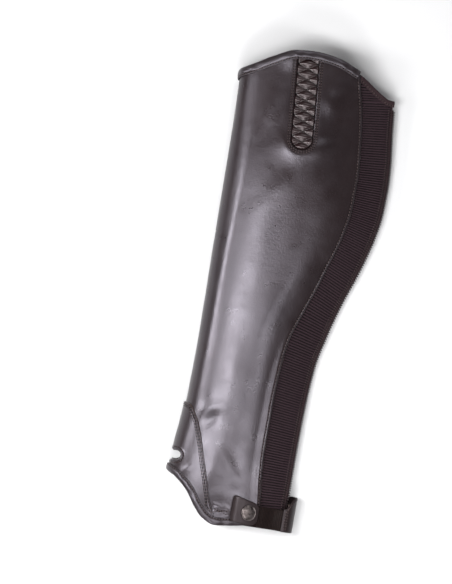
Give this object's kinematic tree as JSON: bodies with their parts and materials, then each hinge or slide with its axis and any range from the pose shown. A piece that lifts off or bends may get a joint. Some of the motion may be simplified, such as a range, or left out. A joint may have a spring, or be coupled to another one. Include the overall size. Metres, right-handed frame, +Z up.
{
  "type": "half chap",
  "caption": "Half chap for the left leg in dark brown leather, with a ribbed elastic calf panel, a quilted insert, a rear zip and a snapped ankle strap, lying flat.",
  "frame": {"origin": "middle of the bounding box, on the surface that the half chap lies on", "axes": "+Y up the leg to the top opening, +X from the shin fold to the zip, +Z up through the outer side of the leg"},
  "size_m": [0.1634, 0.463, 0.0459],
  "materials": {
    "leather": "smooth semi-gloss dark brown leather, suede-backed",
    "elastic": "fine-ribbed burgundy brown elastic",
    "strap_elastic": "woven dark brown strap elastic",
    "zip_tape": "woven reddish brown tape",
    "zip_teeth": "moulded teeth",
    "inner_tape": "flat black elastic tape",
    "thread": "waxed sewing thread",
    "pewter": "antiqued pewter plate"
  },
  "bodies": {
    "root": {"main_panel": "leather", "ankle_panel": "leather", "quilted_insert": "leather", "top_binding": "leather", "hem_binding": "leather", "strap_base": "leather", "strap_tab": "leather", "elastic_panel": "elastic", "elastic_binding": "elastic", "strap_elastic": "strap_elastic", "zip_tape_outer": "zip_tape", "zip_tape_inner": "zip_tape", "zip_chain": "zip_teeth", "zip_slider": "pewter", "snap_cap": "pewter", "insert_tape_front": "inner_tape", "insert_tape_rear": "inner_tape", "seam_tape": "inner_tape"}
  },
  "joints": []
}
